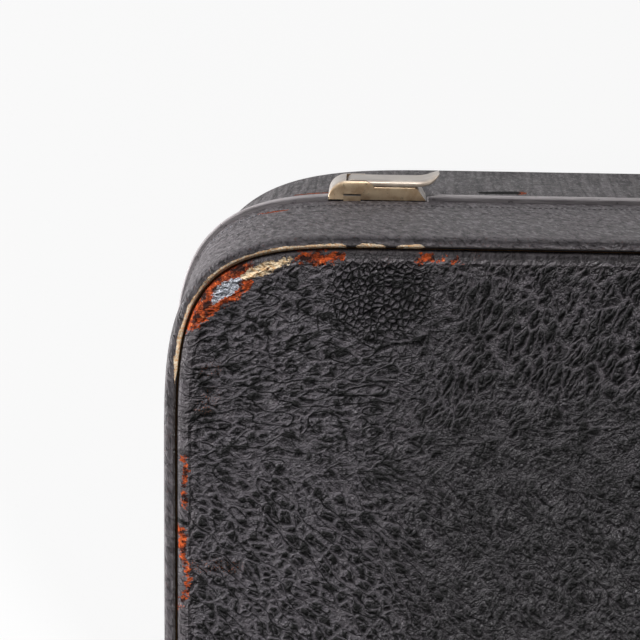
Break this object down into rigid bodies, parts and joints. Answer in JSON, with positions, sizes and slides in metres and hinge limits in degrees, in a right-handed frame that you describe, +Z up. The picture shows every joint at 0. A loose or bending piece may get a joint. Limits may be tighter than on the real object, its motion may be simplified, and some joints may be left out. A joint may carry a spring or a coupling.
{
  "type": "leather suitcase",
  "caption": "Old hard leather suitcase: two deep framed halves hinged at the back, with lever catches, a centre hasp lock and a swinging handle.",
  "frame": {"origin": "middle of the back panel's flat outer face, which the case lies on", "axes": "+X along the width, +Y from the handle side to the hinge side, +Z up out of the lid's panel"},
  "size_m": [0.6052, 0.4237, 0.1756],
  "materials": {
    "panel_leather": "heavy pebbled grain, worn satin",
    "band_leather": "fine wrinkled grain, worn satin",
    "seam_strip": "smooth, rubbed grey",
    "edge_tape": "matt tape",
    "frame_wood": "plain sawn",
    "board": "plain fibreboard",
    "lining_cloth": "woven cloth on board",
    "pocket_cloth": "gathered woven cloth",
    "nickel_plate": "worn nickel plate",
    "steel": "plain steel"
  },
  "bodies": {
    "base": {"base_frame": "frame_wood", "base_band_leather": "band_leather", "base_panel_leather": "panel_leather", "base_panel_board": "board", "base_lining": "lining_cloth", "base_edge_binding": "seam_strip", "hinge_left_base_leaf": "nickel_plate", "hinge_left_pin": "steel", "hinge_left_base_rivet_1": "nickel_plate", "hinge_left_base_rivet_2": "nickel_plate", "hinge_right_base_leaf": "nickel_plate", "hinge_right_pin": "steel", "hinge_right_base_rivet_1": "nickel_plate", "hinge_right_base_rivet_2": "nickel_plate", "latch_left_case": "nickel_plate", "latch_left_pin": "steel", "latch_left_spring": "steel", "latch_right_case": "nickel_plate", "latch_right_pin": "steel", "latch_right_spring": "steel", "lock_case": "nickel_plate", "lock_spring": "steel", "lock_rivet_1": "nickel_plate", "lock_rivet_2": "nickel_plate", "handle_post_left": "nickel_plate", "handle_post_right": "nickel_plate", "handle_pin_left": "steel", "handle_pin_right": "steel", "handle_left_rivet_1": "nickel_plate", "handle_left_rivet_2": "nickel_plate", "handle_right_rivet_1": "nickel_plate", "handle_right_rivet_2": "nickel_plate"},
    "lid": {"lid_frame": "frame_wood", "lid_band_leather": "band_leather", "lid_panel_leather": "panel_leather", "lid_panel_board": "board", "lid_lining": "lining_cloth", "lid_edge_binding": "edge_tape", "lid_pocket": "pocket_cloth", "hinge_left_lid_leaf": "nickel_plate", "hinge_left_lid_rivet_1": "nickel_plate", "hinge_left_lid_rivet_2": "nickel_plate", "hinge_right_lid_leaf": "nickel_plate", "hinge_right_lid_rivet_1": "nickel_plate", "hinge_right_lid_rivet_2": "nickel_plate", "latch_left_striker": "steel", "latch_right_striker": "steel", "lock_hasp_plate": "nickel_plate", "lock_hasp_pin": "steel", "lock_hasp_rivet_1": "nickel_plate", "lock_hasp_rivet_2": "nickel_plate"},
    "lever_left": {"latch_left_lever": "nickel_plate"},
    "lever_right": {"latch_right_lever": "nickel_plate"},
    "slide": {"lock_slide": "nickel_plate"},
    "hasp": {"lock_hasp": "nickel_plate"},
    "handle": {"handle_core": "steel", "handle_grip": "panel_leather", "handle_ferrule_left": "nickel_plate", "handle_ferrule_right": "nickel_plate"}
  },
  "joints": [
    {"name": "lid_hinge", "type": "hinge", "parent": "base", "child": "lid", "pos_m": [0, 0.2035, 0.0903], "axis": [-1, 0, 0], "range_deg": [0, 180]},
    {"name": "latch_left_turn", "type": "hinge", "parent": "base", "child": "lever_left", "pos_m": [-0.2188, -0.2069, 0.0805], "axis": [0, 0, -1], "range_deg": [0, 85], "stiffness_Nm_per_rad": 0.01},
    {"name": "latch_right_turn", "type": "hinge", "parent": "base", "child": "lever_right", "pos_m": [0.2188, -0.2069, 0.0805], "axis": [0, 0, 1], "range_deg": [0, 85], "stiffness_Nm_per_rad": 0.01},
    {"name": "lock_slide_push", "type": "slide", "parent": "base", "child": "slide", "axis": [1, 0, 0], "range_m": [0, 0.005], "stiffness_N_per_m": 120},
    {"name": "hasp_lift", "type": "hinge", "parent": "lid", "child": "hasp", "pos_m": [0, -0.20305, 0.0952], "axis": [-1, 0, 0], "range_deg": [0, 150]},
    {"name": "handle_swing", "type": "hinge", "parent": "base", "child": "handle", "pos_m": [0, -0.2095, 0.051], "axis": [-1, 0, 0], "range_deg": [0, 160]}
  ]
}
